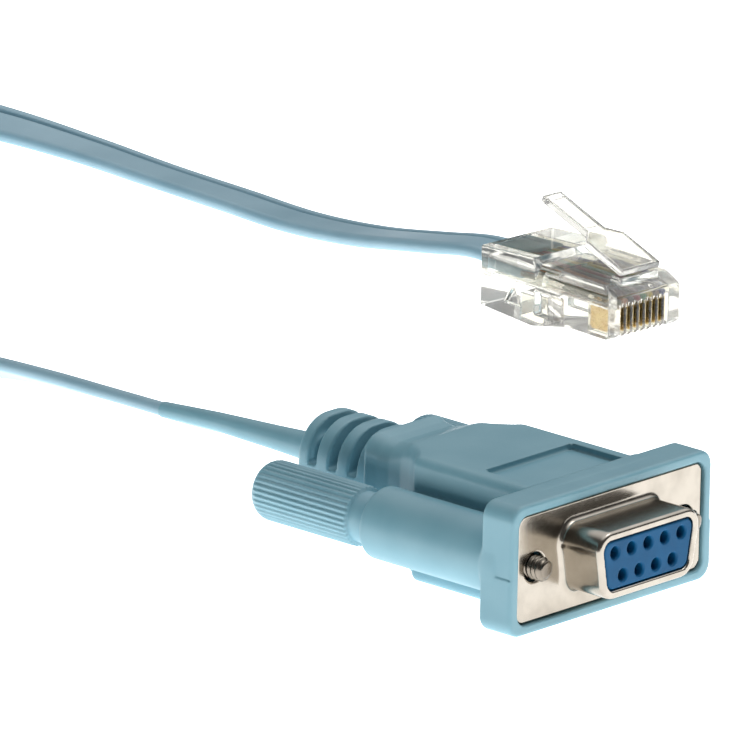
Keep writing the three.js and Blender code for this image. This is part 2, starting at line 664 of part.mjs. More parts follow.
const plug = new THREE.Group();
plug.position.set(PLUG_X, PLUG_Y, BELLY_DEPTH);
plug.rotation.z = PLUG_TURN;
place('plug_housing', plugHousingGeometry(), clearResin, plug);
const latch = place('plug_latch', latchGeometry(), clearResin, plug);
latch.position.set(0, LATCH_AT, NOSE_HEIGHT + TURN_FIT + LATCH_THICK);
latch.rotation.x = LATCH_ANGLE;
for (let i = 0; i < WAY_COUNT; i += 1) {
  place(`contact_blade_${i + 1}`, boxBetween(
    [wayX(i) - BLADE_THICK / 2, BLADE_FRONT, BLADE_FOOT],
    [wayX(i) + BLADE_THICK / 2, BLADE_FRONT + BLADE_LENGTH, WIRE_HEIGHT - WIRE_DIAMETER / 2 - FIT],
  ), gold, plug);
  const insulation = new THREE.MeshStandardMaterial({ color: WIRE_COLOURS[i], roughness: 0.5, metalness: 0 });
  place(`conductor_${i + 1}`, wireGeometry(i), insulation, plug);
}
cable.add(plug);

// The cord's two open runs: points chosen by hand, from each connector to the coil
const tailEndY = PLATE_Y + TAIL_END + CORD_GAP;
const tailEndZ = AXIS_Z + TAIL_STATIONS.at(-1).rise;
const socketRun = [
  [0, tailEndY, tailEndZ],
  [0, tailEndY + 8, tailEndZ],
  [0, tailEndY + 18, tailEndZ - 0.2],
  [-1.0, 66, 7.2],
  [-4.5, 76, 6.4],
  [-10.5, 87, 5.4],
  [-17.1, 96.9, 4.8],
];
place('cord_socket_run', runGeometry(cordOutline(CORD_ROLL), socketRun, 26), pvc);

function plugPoint(y) {
  return [PLUG_X - y * Math.sin(PLUG_TURN), PLUG_Y + y * Math.cos(PLUG_TURN), BELLY_DEPTH + WIRE_HEIGHT];
}
const plugRun = [
  plugPoint(PLUG_LENGTH - JACKET_INSET),
  plugPoint(PLUG_LENGTH),
  plugPoint(PLUG_LENGTH + 5),
  [80.2, 69, 4.2],
  [81.2, 80, 2.4],
  [82.5, 92, 1.2],
  [83.8, 104, 1.1],
  [84.9, 118, 1.1],
  [85.2, 130, 1.3],
  [82.8, 140.5, 2.4],
  [77.2, 149, 4.2],
  [69.3, 155, 6.2],
  [60.8, 158.9, 7.7],
  [52.5, 162, 8.8],
  [42.8, 166.1, 10.2],
];
place('cord_plug_run', runGeometry(cordOutline(0), plugRun, 44), pvc);

// The stored length is a flat coil of two layers, held by a tie
const coilInner = COIL_RADIUS - COIL_BUILD / 2;
const coilOuter = COIL_RADIUS + COIL_BUILD / 2;
const coilRing = new THREE.LatheGeometry([
  [coilInner, 0], [coilOuter, 0], [coilOuter, COIL_HEIGHT], [coilInner, COIL_HEIGHT], [coilInner, 0],
].map(([r, y]) => new THREE.Vector2(r, y)), 48);
coilRing.rotateX(Math.PI / 2);
const coil = place('cord_coil', coilRing, pvc);
coil.position.set(COIL_X, COIL_Y, COIL_FLOOR);

const tieReach = Math.sqrt(coilInner ** 2 - (TIE_WIDTH / 2) ** 2) - 2 * CORD_GAP;
const tieTop = COIL_FLOOR + COIL_HEIGHT + CORD_GAP;
const tieInner = boxBetween(
  [tieReach, -TIE_WIDTH, TIE_THICK],
  [coilOuter + CORD_GAP, TIE_WIDTH, tieTop],
);
const tieOuter = boxBetween(
  [tieReach - TIE_THICK, -TIE_WIDTH / 2, 0],
  [coilOuter + CORD_GAP + TIE_THICK, TIE_WIDTH / 2, tieTop + TIE_THICK],
);
const tie = place('coil_tie', combine(tieOuter, [], [tieInner]), tieFabric);
tie.position.set(COIL_X, COIL_Y, 0);
tie.rotation.z = TIE_ANGLE;

export default cable;
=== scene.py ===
"""A flat console cable: a moulded nine-way socket connector with two thumbscrews at one end, a clear
eight-way modular plug at the other, and the flat cord between them with its spare length coiled.

Lengths in the classes are millimetres. Meshes are made in metres, in the row frame.
"""
import logging
import math
from dataclasses import dataclass, field
from enum import Enum
from typing import Callable, Sequence

import bpy
import numpy as np
from mathutils import Matrix, Vector


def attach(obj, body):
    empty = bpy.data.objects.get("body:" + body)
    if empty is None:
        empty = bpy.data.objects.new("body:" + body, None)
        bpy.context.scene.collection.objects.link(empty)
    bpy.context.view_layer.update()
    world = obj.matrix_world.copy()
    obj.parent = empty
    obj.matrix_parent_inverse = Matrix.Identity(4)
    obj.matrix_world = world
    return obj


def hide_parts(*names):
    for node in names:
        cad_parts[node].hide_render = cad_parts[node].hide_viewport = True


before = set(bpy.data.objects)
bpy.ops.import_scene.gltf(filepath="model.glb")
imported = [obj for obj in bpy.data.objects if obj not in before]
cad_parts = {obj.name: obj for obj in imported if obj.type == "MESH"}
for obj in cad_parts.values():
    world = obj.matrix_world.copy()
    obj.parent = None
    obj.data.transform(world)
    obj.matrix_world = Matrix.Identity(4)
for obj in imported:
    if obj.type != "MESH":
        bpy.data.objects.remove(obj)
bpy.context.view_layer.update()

LOG = logging.getLogger("console_cable")
MM = 0.001
FIXED_BODY = "connector_and_cord"
Field = Callable[[np.ndarray, np.ndarray, np.ndarray], np.ndarray]


class Side(Enum):
    """The two thumbscrews, by the side of the connector that each stands on."""

    NEAR = -1
    FAR = 1


# Distance fields: a solid is where its field is below zero
def rounded_box(u: np.ndarray, v: np.ndarray, half_u: float, half_v: float, corner: float) -> np.ndarray:
    """Distance to a rectangle with rounded corners.

    Args:
        u: First coordinate.
        v: Second coordinate.
        half_u: Half the width, a number or an array.
        half_v: Half the height, a number or an array.
        corner: Corner radius, a number or an array.

    Returns:
        The distance, below zero inside.
    """
    over_u = np.abs(u) - half_u + corner
    over_v = np.abs(v) - half_v + corner
    outside = np.hypot(np.maximum(over_u, 0), np.maximum(over_v, 0))
    return outside + np.minimum(np.maximum(over_u, over_v), 0) - corner


def polygon(u: np.ndarray, v: np.ndarray, corners: Sequence[tuple[float, float]]) -> np.ndarray:
    """Distance to a closed polygon.

    Args:
        u: First coordinate.
        v: Second coordinate.
        corners: The polygon's corners in order.

    Returns:
        The distance, below zero inside.
    """
    nearest = np.full(np.shape(u), np.inf)
    sign = np.ones(np.shape(u))
    for (au, av), (bu, bv) in zip(corners, [corners[-1], *corners[:-1]]):
        edge_u, edge_v = bu - au, bv - av
        from_u, from_v = u - au, v - av
        share = np.clip((from_u * edge_u + from_v * edge_v) / (edge_u**2 + edge_v**2), 0, 1)
        nearest = np.minimum(nearest, (from_u - edge_u * share) ** 2 + (from_v - edge_v * share) ** 2)
        above, below, left = v >= av, v < bv, edge_u * from_v > edge_v * from_u
        flips = (above & below & left) | (~above & ~below & ~left)
        sign = np.where(flips, -sign, sign)
    return sign * np.sqrt(nearest)


def slab(v: np.ndarray, low: float, high: float) -> np.ndarray:
    """Distance to the space between two parallel planes."""
    return np.maximum(low - v, v - high)


def join(a: np.ndarray, b: np.ndarray, fillet: float) -> np.ndarray:
    """Two solids as one, with a fillet of about that radius where they meet."""
    share = np.clip(0.5 + 0.5 * (b - a) / fillet, 0, 1)
    return b * (1 - share) + a * share - fillet * share * (1 - share)


def meet(a: np.ndarray, b: np.ndarray, rounding: float) -> np.ndarray:
    """What two solids share, with its edge rounded."""
    return -join(-a, -b, rounding)


def carve(a: np.ndarray, b: np.ndarray, rounding: float) -> np.ndarray:
    """The first solid without the second, with the rim rounded."""
    return -join(-a, b, rounding)


def stations(at: np.ndarray, places: Sequence[float], values: Sequence[float], soften: float) -> np.ndarray:
    """A value that changes along a line, with its corners softened.

    Args:
        at: Where the value is wanted.
        places: Places along the line, rising.
        values: The value at each place.
        soften: Length over which corners are averaged.

    Returns:
        The value at each place asked for.
    """
    step = 0.05
    dense = np.arange(places[0] - 2 * soften, places[-1] + 2 * soften, step)
    raw = np.interp(dense, places, values)
    window = np.hanning(max(3, int(soften / step) | 1))
    padded = np.pad(raw, len(window) // 2, mode="edge")
    return np.interp(at, dense, np.convolve(padded, window / window.sum(), mode="valid"))


# Meshes
def skin(solid: Field, low: Sequence[float], high: Sequence[float],
         pitch: float) -> tuple[np.ndarray, list, np.ndarray]:
    """Wraps a field's surface in quads, one vertex a cell, each drawn onto the surface.

    Args:
        solid: The field.
        low: Lowest corner of the space to search.
        high: Highest corner.
        pitch: Cell size.

    Returns:
        The vertices, the faces and the outward normal at each vertex.
    """
    low_corner = np.array(low, float)
    counts = np.ceil((np.array(high, float) - low_corner) / pitch).astype(int) + 1
    x, y, z = np.meshgrid(*[low_corner[k] + pitch * np.arange(counts[k]) for k in range(3)], indexing="ij")
    value = solid(x, y, z)
    value = np.where(np.abs(value) < 1e-7, 1e-7, value)
    cells = tuple(counts - 1)
    total, crossings = np.zeros(cells + (3,)), np.zeros(cells)
    for axis in range(3):
        first, second = [k for k in range(3) if k != axis]
        for s in (0, 1):
            for t in (0, 1):
                start = [0, 0, 0]
                start[first], start[second] = s, t
                end = list(start)
                end[axis] = 1
                a = value[tuple(slice(o, o + n) for o, n in zip(start, cells))]
                b = value[tuple(slice(o, o + n) for o, n in zip(end, cells))]
                crosses = (a < 0) != (b < 0)
                total[..., axis] += np.where(crosses, a / np.where(crosses, a - b, 1), 0)
                total[..., first] += crosses * s
                total[..., second] += crosses * t
                crossings += crosses
    used = crossings > 0
    number = np.full(cells, -1)
    number[used] = np.arange(used.sum())
    points = low_corner + pitch * (np.argwhere(used) + total[used] / crossings[used][:, None])
    faces = []
    for axis in range(3):
        u, v = (axis + 1) % 3, (axis + 2) % 3
        here, there = [slice(1, -1)] * 3, [slice(1, -1)] * 3
        here[axis], there[axis] = slice(0, -1), slice(1, None)
        inside = value < 0
        changes = inside[tuple(here)] != inside[tuple(there)]
        at = np.argwhere(changes)
        at[:, u] += 1
        at[:, v] += 1
        corners = []
        for du, dv in ((-1, -1), (0, -1), (0, 0), (-1, 0)):
            cell = at.copy()
            cell[:, u] += du
            cell[:, v] += dv
            corners.append(number[cell[:, 0], cell[:, 1], cell[:, 2]])
        quads = np.stack(corners, 1)
        outward = inside[at[:, 0], at[:, 1], at[:, 2]]
        faces.append(np.where(outward[:, None], quads, quads[:, ::-1]))
    for _ in range(5):
        slope, here_value = gradient(solid, points)
        steepness = np.maximum((slope**2).sum(1), 0.05)
        move = slope * (here_value / steepness)[:, None]
        size = np.linalg.norm(move, axis=1, keepdims=True)
        points = points - move * np.minimum(1, 0.3 * pitch / np.maximum(size, 1e-9))
    slope, _ = gradient(solid, points)
    normals = slope / np.maximum(np.linalg.norm(slope, axis=1, keepdims=True), 1e-9)
    return points, np.concatenate(faces).tolist(), normals


def gradient(solid: Field, points: np.ndarray) -> tuple[np.ndarray, np.ndarray]:
    """The field's slope and value at points."""
    reach = 0.03
    slope = np.zeros(points.shape)
    for axis in range(3):
        ahead, behind = points.copy(), points.copy()
        ahead[:, axis] += reach
        behind[:, axis] -= reach
        slope[:, axis] = (solid(*ahead.T) - solid(*behind.T)) / (2 * reach)
    return slope, solid(*points.T)


def add_mesh(name: str, points: np.ndarray, faces: Sequence,
             normals: np.ndarray | None = None) -> bpy.types.Object:
    """Makes a smooth-shaded object.

    Args:
        name: The piece's name.
        points: Vertices in millimetres, in the row frame.
        faces: Vertex numbers of each face.
        normals: Outward normal at each vertex, where they are known exactly.

    Returns:
        The new object, linked to the scene.
    """
    mesh = bpy.data.meshes.new(name)
    mesh.from_pydata((np.asarray(points) * MM).tolist(), [], faces)
    mesh.polygons.foreach_set("use_smooth", [True] * len(mesh.polygons))
    if normals is not None:
        mesh.normals_split_custom_set_from_vertices(normals.tolist())
    mesh.update()
    piece = bpy.data.objects.new(name, mesh)
    bpy.context.scene.collection.objects.link(piece)
    return piece


def tube_faces(rings: int, count: int, closed: bool = False) -> list:
    """Faces of a skin over rings of equal point counts.

    Args:
        rings: Number of rings.
        count: Points in each ring.
        closed: Whether the last ring joins the first; otherwise both ends are capped.

    Returns:
        Vertex numbers of each face.
    """
    faces = []
    for r in range(rings if closed else rings - 1):
        near, far = r * count, (r + 1) % rings * count
        for i in range(count):
            j = (i + 1) % count
            faces.append((near + i, near + j, far + j, far + i))
    if not closed:
        faces.append(tuple(reversed(range(count))))
        faces.append(tuple(range((rings - 1) * count, rings * count)))
    return faces


def spline(points: np.ndarray, step: float) -> tuple[np.ndarray, np.ndarray]:
    """A smooth curve through points of any number of columns, the first three being the place.

    Args:
        points: The points, one a row.
        step: Distance between samples.

    Returns:
        The samples, and the distance along the curve of each.
    """
    chord = np.concatenate([[0], np.cumsum(np.linalg.norm(np.diff(points[:, :3], axis=0), axis=1))])
    slopes = np.gradient(points, chord, axis=0)
    at = np.linspace(0, chord[-1], int(chord[-1] / step) + 1)
    span = np.clip(np.searchsorted(chord, at, side="right") - 1, 0, len(chord) - 2)
    length = (chord[span + 1] - chord[span])[:, None]
    t = ((at - chord[span])[:, None]) / length
    return (
        (2 * t**3 - 3 * t**2 + 1) * points[span]
        + (t**3 - 2 * t**2 + t) * length * slopes[span]
        + (-2 * t**3 + 3 * t**2) * points[span + 1]
        + (t**3 - t**2) * length * slopes[span + 1]
    ), at


# Materials
def linear(code: str, alpha: float = 1.0) -> tuple[float, float, float, float]:
    """An sRGB hex value as linear colour."""
    shares = [int(code[k : k + 2], 16) / 255 for k in (1, 3, 5)]
    turned = [s / 12.92 if s <= 0.04045 else ((s + 0.055) / 1.055) ** 2.4 for s in shares]
    return (*turned, alpha)


def add_node(tree: bpy.types.NodeTree, kind: str, values: dict | None = None, links: dict | None = None,
             **settings: object) -> bpy.types.Node:
    """Adds a node to a tree with its settings, socket values and incoming links.

    Args:
        tree: The node tree.
        kind: The node's type.
        values: Value of each input named.
        links: Output that feeds each input named.
        **settings: Properties of the node itself.

    Returns:
        The node.
    """
    node = tree.nodes.new(kind)
    for name, value in settings.items():
        setattr(node, name, value)
    for name, value in (values or {}).items():
        node.inputs[name].default_value = value
    for name, source in (links or {}).items():
        tree.links.new(source, node.inputs[name])
    return node


def set_ramp(node: bpy.types.Node, low: tuple, high: tuple, start: float = 0.0, end: float = 1.0) -> None:
    """Sets a colour ramp's two stops."""
    stops = node.color_ramp.elements
    stops[0].position, stops[0].color = start, low
    stops[1].position, stops[1].color = end, high


def per_metre(size_mm: float) -> float:
    """The texture scale whose pattern repeats over a length in millimetres."""
    return 1.0 / (size_mm * MM)


@dataclass(frozen=True)
class Finish:
    """What a surface is made of and how it was made.

    Colours vary between base and shade in patches of patch_mm; a relief of grain_mm across and depth_mm
    deep gives the surface its texture; roughness varies between two values in the same relief.
    """

    name: str
    base: str
    shade: str
    roughness: tuple[float, float] = (0.4, 0.5)
    patch_mm: float = 4.0
    grain_mm: float = 0.25
    depth_mm: float = 0.01
    metallic: float = 0.0
    ior: float = 1.5
    stretch: tuple[float, float, float] = (1.0, 1.0, 1.0)
    extras: dict = field(default_factory=dict)

    def make(self) -> bpy.types.Material:
        """Builds the node material."""
        material = bpy.data.materials.new(self.name)
        material.use_nodes = True
        tree = material.node_tree
        tree.nodes.clear()
        place = add_node(tree, "ShaderNodeTexCoord").outputs["Object"]
        patches = add_node(tree, "ShaderNodeTexNoise", {"Scale": per_metre(self.patch_mm), "Detail": 3.0},
                           {"Vector": place})
        colour = add_node(tree, "ShaderNodeValToRGB", links={"Fac": patches.outputs["Fac"]})
        set_ramp(colour, linear(self.shade), linear(self.base), 0.3, 0.62)
        stretched = add_node(tree, "ShaderNodeMapping", {"Scale": self.stretch}, {"Vector": place})
        grain = add_node(tree, "ShaderNodeTexNoise", {"Scale": per_metre(self.grain_mm), "Detail": 4.0},
                         {"Vector": stretched.outputs["Vector"]})
        gloss = add_node(tree, "ShaderNodeMapRange",
                         {"To Min": self.roughness[0], "To Max": self.roughness[1]},
                         {"Value": grain.outputs["Fac"]})
        relief = add_node(tree, "ShaderNodeBump", {"Strength": 0.5, "Distance": self.depth_mm * MM},
                          {"Height": grain.outputs["Fac"]})
        constants = {"Metallic": self.metallic, **self.extras}
        if not self.metallic:
            constants["IOR"] = self.ior
        shader = add_node(tree, "ShaderNodeBsdfPrincipled", constants,
                          {"Base Color": colour.outputs["Color"], "Roughness": gloss.outputs["Result"],
                           "Normal": relief.outputs["Normal"]})
        add_node(tree, "ShaderNodeOutputMaterial", links={"Surface": shader.outputs["BSDF"]})
        return material


# Flexible PVC, injection moulded over the connector: a satin skin from the tool's fine spark erosion,
# drawn at 0.3 mm instead of 0.05 so that it shows
MOULDED_PVC = Finish("pvc_moulded_satin", "#80AFBD", "#77A8B7", (0.34, 0.44), 7.0, 0.3, 0.006, ior=1.56)
# The same PVC with a slightly glossier skin, because the thumbscrew caps come from a polished tool
CAP_PVC = Finish("pvc_cap_moulded", "#84B2C0", "#7AAABA", (0.32, 0.4), 6.0, 0.3, 0.005, ior=1.56)
# Flexible PVC drawn through a die: smooth, with faint lines along the cord. Its blue is painted lighter than
# the moulded hood's, a painted highlight for the stronger light from above on the cord
CORD_PVC_PAINTED_LIGHT = Finish("pvc_cord_extruded", "#97BBCA", "#8BB1C1", (0.3, 0.4), 9.0, 0.4, 0.004, ior=1.56)
# Steel sheet, stamped, then bright nickel plated: warm, with the press's faint waviness
STAMPED_NICKEL = Finish("steel_stamped_nickel_plated", "#B5AEA3", "#A69F94", (0.16, 0.26), 3.0, 0.5, 0.004,
                        metallic=1.0)
# Steel, turned and nickel plated: fine rings round the screw's axis. Its colour is painted darker than the
# plate's nickel, a painted shade for the screw sitting in its dark hole
TURNED_STEEL_PAINTED_DARK = Finish("steel_turned_nickel_plated", "#8E867B", "#746D63", (0.2, 0.32), 2.0, 0.2, 0.004,
                      metallic=1.0, stretch=(0.2, 6.0, 0.2))
# Glass-filled polyester, moulded: saturated, half matt where the fibres lie near the skin
BLUE_POLYESTER = Finish("polyester_moulded_blue", "#045886", "#034F7A", (0.42, 0.56), 3.0, 0.15, 0.004,
                        extras={"Specular IOR Level": 0.2})
# Phosphor bronze with a gold flash: smooth and bright
GOLD_FLASH = Finish("bronze_gold_flashed", "#E2C88A", "#CFAE68", (0.22, 0.32), 1.0, 0.2, 0.002, metallic=1.0)
# Polycarbonate, moulded clear: a water-clear body with a faint flow pattern in its skin
CLEAR_POLYCARBONATE = Finish("polycarbonate_moulded_clear", "#E7E5DB", "#DAD8CD",
                             (0.02, 0.06), 3.0, 1.5, 0.004,
                             ior=1.5, extras={"Transmission Weight": 1.0, "Alpha": 0.9})
# Polyamide loop fabric, woven: a fuzzy nap that hides its own weave
WOVEN_TIE = Finish("polyamide_loop_woven", "#34383B", "#24272A", (0.85, 0.95), 1.5, 0.35, 0.08,
                   extras={"Sheen Weight": 0.5})
# Opal acrylic table top, lit from below as well: matt, even and white
OPAL_TABLE = Finish("acrylic_opal_lit", "#F2F2F2", "#F0F0F0", (0.8, 0.9), 80.0, 2.0, 0.01,
                    extras={"Emission Color": (1.0, 1.0, 1.0, 1.0), "Emission Strength": 1.4})
WIRE_COLOURS = ("#7B7D6C", "#B5763F", "#1F1D20", "#8E2A2C", "#3F8A52", "#CDB84A", "#7C6A5E", "#2C3F8C")


class Workshop:
    """Makes each finish once, and dresses and attaches the pieces."""

    def __init__(self) -> None:
        """Starts with no finish made."""
        self.made: dict[str, bpy.types.Material] = {}

    def material(self, finish: Finish) -> bpy.types.Material:
        """The finish's material, made at its first use."""
        if finish.name not in self.made:
            self.made[finish.name] = finish.make()
        return self.made[finish.name]

    def dress(self, piece: bpy.types.Object, finish: Finish, body: str = FIXED_BODY,
              replaces: Sequence[str] = ()) -> bpy.types.Object:
        """Gives a new piece its finish and body, and hides the CAD nodes that it stands for.

        Args:
            piece: The new object.
            finish: Its finish.
            body: The body that it rides on.
            replaces: CAD nodes that it stands for.

        Returns:
            The same piece.
        """
        piece.data.materials.clear()
        piece.data.materials.append(self.material(finish))
        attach(piece, body)
        if replaces:
            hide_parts(*replaces)
        LOG.info("%s: %d faces, %s", piece.name, len(piece.data.polygons), finish.name)
        return piece

    def repaint(self, node: str, finish: Finish) -> None:
        """Gives a CAD node that stays visible its finish."""
        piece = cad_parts[node]
        piece.data.materials.clear()
        piece.data.materials.append(self.material(finish))
        LOG.info("%s keeps its solid, %s", node, finish.name)


@dataclass
class SocketConnector:
    """The moulded nine-way connector: hood, stamped shell, insulator and its nine contacts.

    Depths run back from the front of the plate, and heights are from the connector's axis.
    """

    plate_y: float = -30.05
    axis_z: float = 7.6
    plate: tuple[float, float, float, float] = (30.81, 12.55, 0.8, 1.3)
    screw_x: float = 12.495
    screw_hole: float = 3.4
    shell: tuple[float, float, float, float] = (16.33, 7.9, 5.9, 2.2)
    wall: float = 0.6
    lip: float = 1.0
    flange: tuple[float, float, float, float] = (33.7, 15.2, 4.4, 1.9)
    rim_proud: float = 0.35
    body_at: tuple[float, ...] = (0.0, 20.9, 21.0, 22.0, 23.5, 25.5, 27.8, 29.6, 31.3)
    body_half_width: tuple[float, ...] = (9.5, 9.5, 9.5, 8.55, 7.6, 6.8, 6.3, 6.4, 6.9)
    body_top_at: tuple[float, ...] = (0.0, 24.6, 25.2, 26.4, 27.8, 29.4, 31.3)
    body_half_height: tuple[float, ...] = (7.35, 7.35, 7.2, 6.75, 6.5, 6.6, 7.15)
    boss: tuple[float, float, float] = (4.2, 22.8, 1.9)
    neck: tuple[float, float, float, float] = (10.6, 12.2, 4.6, 42.6)
    slots: tuple[float, float, float, float] = (34.2, 3.05, 1.3, 2.1)
    slot_web: float = 2.4
    tail_at: tuple[float, ...] = (41.6, 47.9, 57.5, 62.1, 66.0)
    tail_width: tuple[float, ...] = (8.0, 7.7, 7.2, 7.0, 6.9)
    tail_thick: tuple[float, ...] = (3.5, 2.9, 2.2, 2.0, 1.85)
    tail_rise: tuple[float, ...] = (1.0, 0.9, 0.75, 0.5, 0.27)
    tail_roll: float = math.radians(22.6)
    label: tuple[float, float, float] = (14.6, 12.5, 0.8)
    parting_z: float = -0.75
    socket_pitch: float = 2.77
    socket_rows: float = 2.84
    socket_hole: float = 1.4

    def sockets(self) -> list[tuple[float, float]]:
        """Places of the nine sockets, five above four."""
        upper = [((i - 2) * self.socket_pitch, self.socket_rows / 2) for i in range(5)]
        lower = [((i - 1.5) * self.socket_pitch, -self.socket_rows / 2) for i in range(4)]
        return upper + lower

    def d_shape(self, x: np.ndarray, z: np.ndarray, inset: float) -> np.ndarray:
        """Distance to the shell's D outline, set in by a length."""
        width, height = self.shell[0] - 2 * inset, self.shell[1] - 2 * inset
        corner = self.shell[3] - inset
        slope = math.radians(10)
        lean = height / 2 * math.tan(slope) * (1 - 2 * corner / height)
        half = width / 2 - corner * (1 / math.cos(slope) - 1) - corner
        top = height / 2 - corner
        outline = [(half + lean, top), (-half - lean, top), (-half + lean, -top), (half - lean, -top)]
        return polygon(x, z, outline) - corner

    def hood_field(self, x: np.ndarray, y: np.ndarray, z: np.ndarray) -> np.ndarray:
        """The overmoulding: flange, body, bosses, neck with its slots, and tail.

        Args:
            x: Across.
            y: Depth from the plate.
            z: Height from the axis.

        Returns:
            The distance.
        """
        width, height, thick, corner = self.flange
        step = 0.08 * (1 - np.tanh((z - self.parting_z) / 0.05))
        flange = meet(rounded_box(x, z, width / 2 - 0.16 + step, height / 2, corner),
                      slab(y, -self.rim_proud, thick), 0.5)
        half = stations(y, self.body_at, self.body_half_width, 0.9)
        tall = stations(y, self.body_top_at, self.body_half_height, 0.9)
        round_corner = stations(y, (0, 21, 26, 31.3), (1.2, 1.2, 2.2, 2.4), 1.0)
        body = meet(rounded_box(x, z, half, tall, round_corner) * 0.85, slab(y, thick - 2, 31.3), 0.7)
        neck_w, neck_h, neck_corner, neck_end = self.neck
        neck = meet(rounded_box(x, z, neck_w / 2, neck_h / 2, neck_corner), slab(y, 29.5, neck_end), 0.7)
        first, pitch, gap, deep = self.slots
        core = rounded_box(x, z, neck_w / 2 - deep, neck_h / 2 - deep, neck_corner - deep)
        for k in range(3):
            slot = meet(slab(y, first + k * pitch - gap / 2, first + k * pitch + gap / 2), -core, 0.3)
            neck = carve(neck, meet(slot, self.slot_web / 2 - np.abs(z), 0.4), 0.25)
        rise = stations(y, self.tail_at, self.tail_rise, 3.0)
        cos, sin = math.cos(self.tail_roll), math.sin(self.tail_roll)
        across = x * cos - (z - rise) * sin
        up = x * sin + (z - rise) * cos
        tail_thick = stations(y, self.tail_at, self.tail_thick, 3.0) / 2
        tail_wide = stations(y, (41.6, 43.0, 45.0, *self.tail_at[1:]),
                             (9.4, 8.4, 7.95, *self.tail_width[1:]), 1.0) / 2
        tail = meet(rounded_box(across, up, tail_wide, tail_thick, tail_thick - 0.05),
                    slab(y, 40.6, self.tail_at[-1]), 0.3)
        radius, boss_end, bore = self.boss
        off_axis = np.hypot(np.abs(x) - self.screw_x, z)
        boss = meet(off_axis - radius, slab(y, thick - 2, boss_end), 0.5)
        hood = join(flange, body, 0.5)
        hood = join(hood, boss, 0.5)
        hood = join(hood, neck, 0.5)
        hood = join(hood, tail, 0.9)
        plate_w, plate_h, plate_thick, plate_corner = self.plate
        pocket = meet(rounded_box(x, z, plate_w / 2 + 0.12, plate_h / 2 + 0.12, plate_corner + 0.12),
                      slab(y, -3, plate_thick), 0.1)
        hood = carve(hood, pocket, 0.25)
        hood = carve(hood, meet(self.d_shape(x, z, self.wall - 0.15), slab(y, -3, 6.1), 0.1), 0.1)
        hood = carve(hood, off_axis - bore, 0.2)
        wide, label_end, depth = self.label
        recess = meet(rounded_box(x, y - thick - 0.2, wide / 2, label_end - thick - 0.2, 0.8),
                      self.body_half_height[0] - depth - z, 0.15)
        return carve(hood, np.maximum(recess, thick - y), 0.1)

    def shell_field(self, x: np.ndarray, y: np.ndarray, z: np.ndarray) -> np.ndarray:
        """The stamped shell: plate, drawn D wall with its bend at the foot, turned-in lip and holes."""
        plate_w, plate_h, thick, corner = self.plate
        reach = self.shell[2]
        plate = meet(rounded_box(x, z, plate_w / 2, plate_h / 2, corner), slab(y, 0, thick), 0.22)
        drawn = meet(self.d_shape(x, z, 0), slab(y, -reach, thick), 0.5)
        shell = join(plate, drawn, 0.9)
        hollow = meet(self.d_shape(x, z, self.wall), slab(y, -reach + self.wall, thick + 2), 0.4)
        mouth = meet(self.d_shape(x, z, self.lip), slab(y, -reach - 2, 0), 0.1)
        shell = carve(carve(shell, hollow, 0.15), mouth, 0.3)
        return carve(shell, np.hypot(np.abs(x) - self.screw_x, z) - self.screw_hole / 2, 0.3)

    def insulator_field(self, x: np.ndarray, y: np.ndarray, z: np.ndarray) -> np.ndarray:
        """The insulator: a D block stepped in to pass the lip, with a countersunk bore at each socket."""
        reach = self.shell[2]
        back = meet(self.d_shape(x, z, self.wall + 0.12), slab(y, -reach + self.wall + 0.12, 5.8), 0.2)
        front = meet(self.d_shape(x, z, self.lip + 0.12), slab(y, -reach + 0.15, 0), 0.25)
        block = join(back, front, 0.05)
        for socket_x, socket_z in self.sockets():
            radial = np.hypot(x - socket_x, z - socket_z)
            sink = np.clip(-reach + 0.35 - y, 0, 0.2) * 0.8
            block = carve(block, radial - self.socket_hole / 2 - sink, 0.08)
        return block

    def placed(self, points: np.ndarray) -> np.ndarray:
        """Points of the connector's own frame in the row frame."""
        return points + np.array([0, self.plate_y, self.axis_z])

    def build(self, shop: Workshop) -> None:
        """Builds the connector's pieces and dresses them."""
        points, faces, normals = skin(self.hood_field, (-17.6, -1.1, -8.3), (17.6, 67, 8.3), 0.29)
        hood = add_mesh("connector_hood", self.placed(points), faces, normals)
        shop.dress(hood, MOULDED_PVC, replaces=["hood"])
        points, faces, normals = skin(self.shell_field, (-16, -6.5, -6.9), (16, 1.4, 6.9), 0.2)
        shell = add_mesh("connector_shell", self.placed(points), faces, normals)
        shop.dress(shell, STAMPED_NICKEL, replaces=["face_shell"])
        points, faces, normals = skin(self.insulator_field, (-9, -6.3, -4), (9, 6.4, 4), 0.19)
        block = add_mesh("connector_insulator", self.placed(points), faces, normals)
        shop.dress(block, BLUE_POLYESTER, replaces=["socket_insulator"])
        for i in range(9):
            shop.repaint(f"socket_contact_{i + 1}", GOLD_FLASH)


